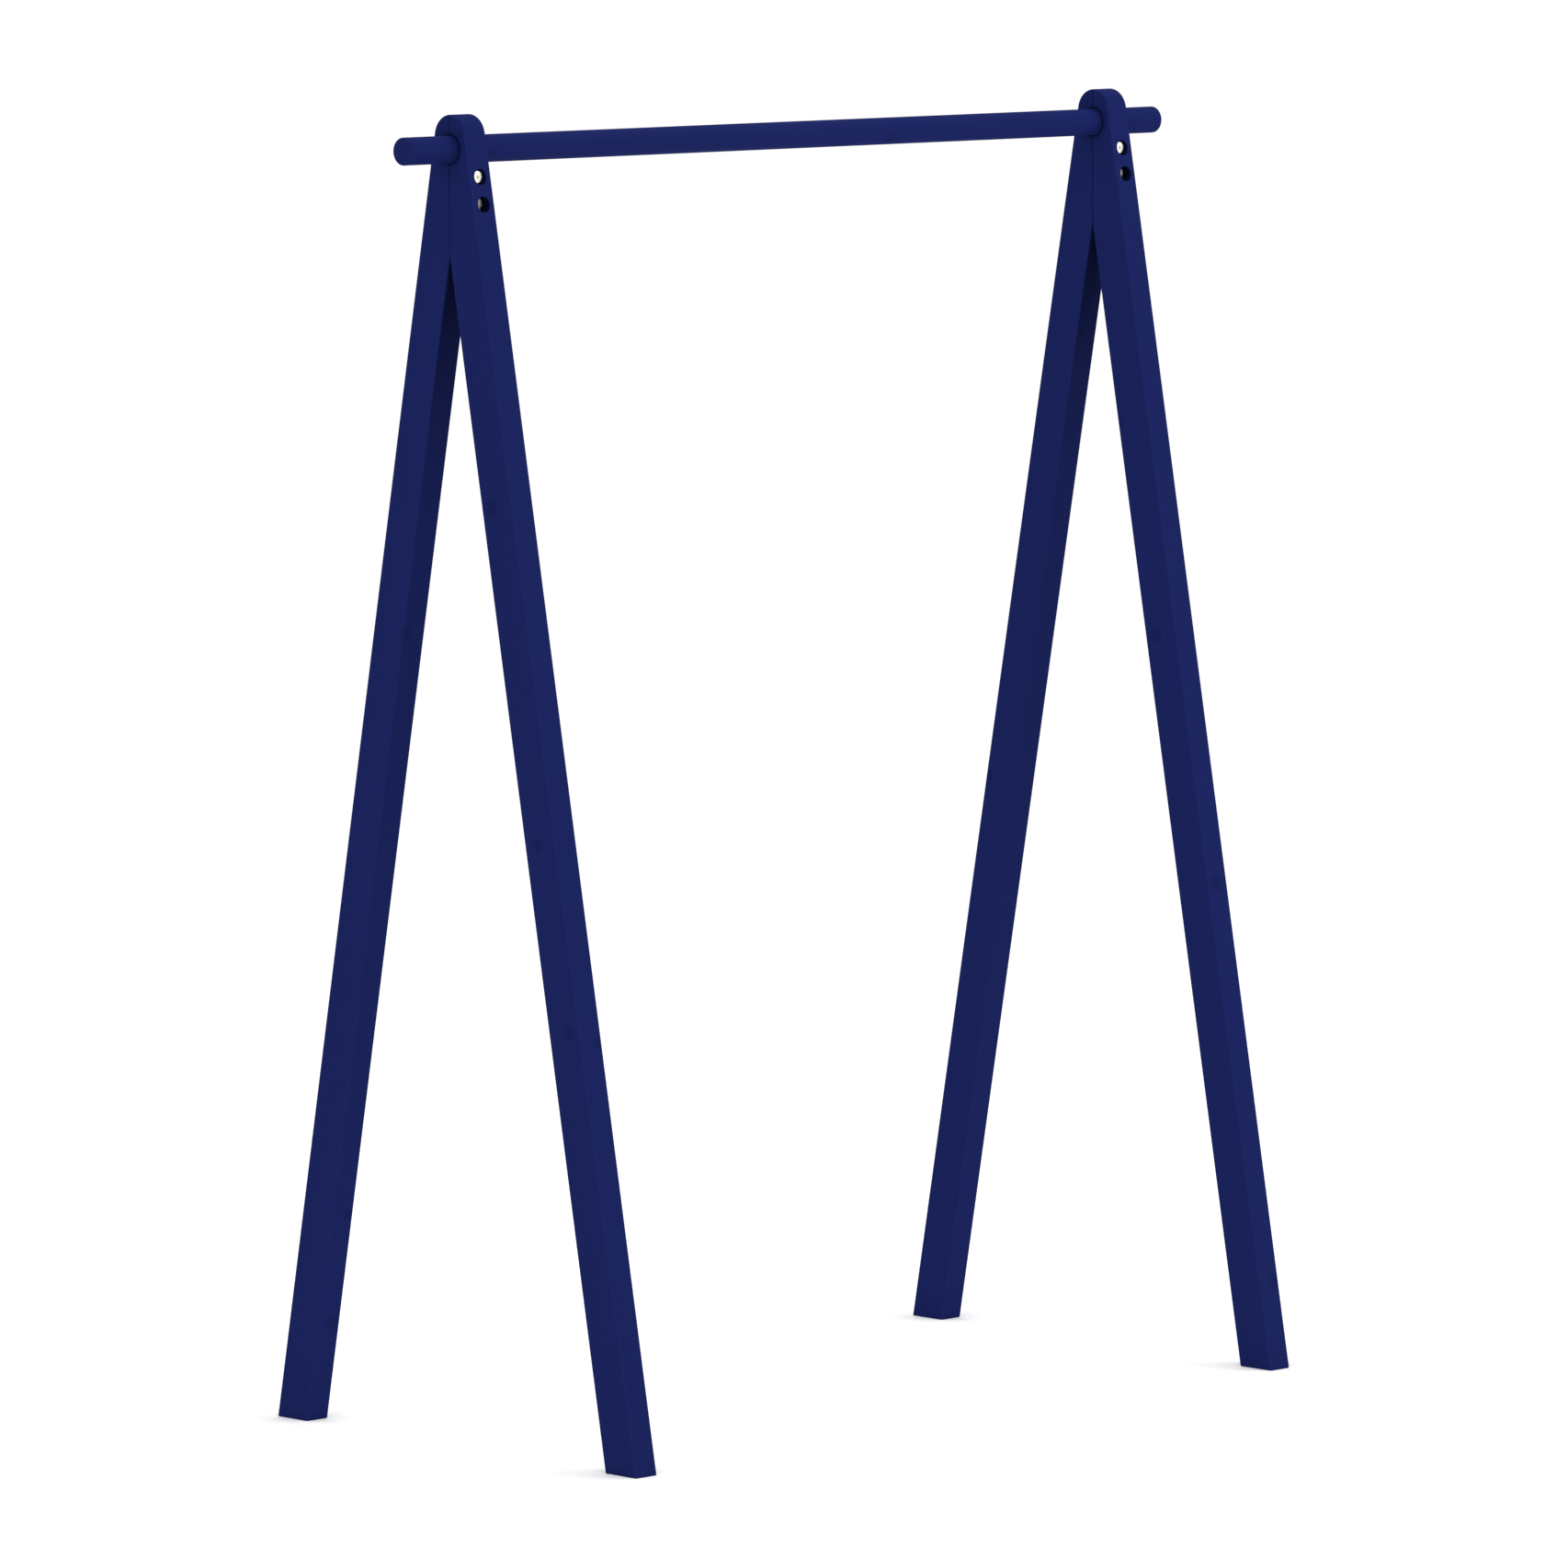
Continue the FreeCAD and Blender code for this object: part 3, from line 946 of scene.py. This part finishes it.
for number, (node, piece) in enumerate(legs.items(), start=1):
    inward = 1 if node.endswith("front_leg") else -1
    foot = Vector((FRAME_PLACES[node.split("_")[0]], -inward * foot_y, 0))
    heart = (21 + 5 * number, 33 - 6 * number)
    turn = (inward * LEAN, 0, 0)
    paint = painted_timber("navy_paint_on_" + node, foot, turn, heart, LEG_KNOTS[node], number, inward)
    paint.coat(piece)
    print(node, "painted, with", len(LEG_KNOTS[node]), "knots")

rail_end = Vector((-RAIL_LENGTH / 2, 0, RAIL_HEIGHT))
lying = (0, -pi / 2, 0)
paint = painted_timber("navy_paint_on_rail", rail_end, lying, RAIL_HEART, RAIL_KNOTS, RAIL_NUMBER)
paint.coat(rail)
print("hanging_rail painted, with", len(RAIL_KNOTS), "knots")

# %% [markdown]
# ## Plated steel
# The bolts and nuts are plated and stay bright.  The plating is smooth but not a mirror: the lathe
# has left fine rings round the head, and handling has dulled it in patches.  There is a faint
# yellow in it, strongest where the plating lies thick in the socket.

# %% Bright plating
PLATE_PALE = (0.93, 0.93, 0.86, 1)
PLATE_YELLOW = (0.93, 0.90, 0.70, 1)
LATHE_PITCH = 0.35 * MM


def plated_steel(name, axis_x, axis_z):
    """Plating with turning rings about an axis that runs from front to rear."""
    finish = Finish(name)
    from_axis = finish.vector("SUBTRACT", finish.place(), (axis_x, 0, axis_z))
    radius = finish.off_axis(from_axis, (1, 0, 1))
    patches = finish.noise(from_axis, 260.0, detail=3.0)
    lathe = (radius * (2 * pi / LATHE_PITCH)).wave()
    in_socket = radius.fade(KEY_ACROSS_CORNERS / 2 + 0.4 * MM, KEY_ACROSS_CORNERS / 2 - 0.6 * MM)
    yellow = (in_socket * 0.8 + patches * 0.25).lowest(1.0)
    finish.set(
        Base_Color=finish.blend(yellow, PLATE_PALE, PLATE_YELLOW),
        Metallic=1.0,
        Roughness=0.44 + (patches - 0.5) * 0.18,
        Normal=finish.bump(lathe * 0.004 + patches * 0.02),
    )
    return finish


for node, piece in fasteners.items():
    side, level = node.split("_")[:2]
    plated_steel("plated_" + node, FRAME_PLACES[side], BOLT_HEIGHTS[level]).coat(piece)
print("plated:", len(fasteners), "fasteners")

# %% [markdown]
# ## Stand the pieces in for their CAD nodes
# Nothing on this object moves, so its one body is the root.  Each new piece rides on that body
# and replaces the node that it was modelled on.

# %% Tie the pieces to the frame
def stand_in(piece, node):
    """Let a piece take the place of its CAD node."""
    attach(piece, "root")
    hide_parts(node)


for node, piece in legs.items():
    stand_in(piece, node)
stand_in(rail, "hanging_rail")
for node, piece in fasteners.items():
    stand_in(piece, node)
print("pieces standing in:", len(legs) + 1 + len(fasteners))

# %% [markdown]
# ## The floor
# The rail stands on a plain white floor that is wide enough to fill the camera's whole view.  It is
# perfectly matt, so all that it shows is the faint shade under the feet.

# %% Floor
FLOOR_SIZE = 220

bpy.ops.mesh.primitive_plane_add(size=FLOOR_SIZE, location=(0, 0, 0))
floor = name_new("studio_floor")
floor_finish = Finish("white_floor")
floor_finish.set(Base_Color=(0.94, 0.94, 0.94, 1), Roughness=0.9, Specular_IOR_Level=0.0)
floor_finish.coat(floor)
print("floor is", FLOOR_SIZE, "metres across")

# %% [markdown]
# ## The light
# The light is that of a bright, even room.  A white world and a very soft sun from straight above
# keep the floor white.  Three large lamps add the rest: one above, a strong one that reaches the
# fronts of the legs and the bolt heads, and a weaker one for their left sides, so that a front is
# a shade lighter than a side.

# %% Light
LAMPS = [
    # name, place, aim, size in metres, watts
    ("overhead", (0, 0, 4.2), (0, 0, 0), 3.5, 22),
    ("front", (3.0, -3.8, 3.0), (0, 0, 0.9), 3.0, 70),
    ("left", (-5.0, -1.2, 2.0), (0, 0, 0.8), 3.0, 32),
]

scene = bpy.context.scene
scene.view_settings.view_transform = "Standard"
scene.view_settings.look = "None"
world = bpy.data.worlds.new("bright_room")
scene.world = world
world.use_nodes = True
room = world.node_tree.nodes["Background"]
room.inputs["Color"].default_value = (1, 1, 1, 1)
room.inputs["Strength"].default_value = 0.6

for name, place, aim, size, watts in LAMPS:
    bpy.ops.object.light_add(type="AREA", location=place)
    lamp = bpy.context.object
    lamp.name = name
    lamp.data.shape = "SQUARE"
    lamp.data.size = size
    lamp.data.energy = watts
    lamp.rotation_euler = (Vector(aim) - Vector(place)).to_track_quat("-Z", "Y").to_euler()
    lamp.visible_camera = False

bpy.ops.object.light_add(type="SUN", location=(0, 0, 6))
skylight = bpy.context.object
skylight.name = "skylight"
skylight.data.energy = 1.5
skylight.data.angle = radians(90)

# %% [markdown]
# ## The camera
# A long lens from twelve metres keeps the near and the far end frame almost the same size.  The
# camera looks between the front and the left side, and a little down, so that the fronts and the
# left sides of both frames are seen.

# %% Camera
CAMERA_AIM = Vector((-5.6 * MM, 5.6 * MM, 711.3 * MM))
CAMERA_DISTANCE = 11.93
CAMERA_BEARING = radians(44.994)
CAMERA_DIP = radians(6.057)
CAMERA_LENS = 236.8

bpy.ops.object.camera_add()
camera = bpy.context.object
camera.name = "studio_camera"
camera.data.sensor_width = 36
camera.data.lens = CAMERA_LENS
camera.data.clip_end = 400
level_run = cos(CAMERA_DIP)
looking = Vector((
    sin(CAMERA_BEARING) * level_run,
    cos(CAMERA_BEARING) * level_run,
    -sin(CAMERA_DIP),
))
camera.location = CAMERA_AIM - looking * CAMERA_DISTANCE
camera.rotation_euler = (pi / 2 - CAMERA_DIP, 0, -CAMERA_BEARING)
scene.camera = camera
print("camera stands at", [round(value, 2) for value in camera.location])
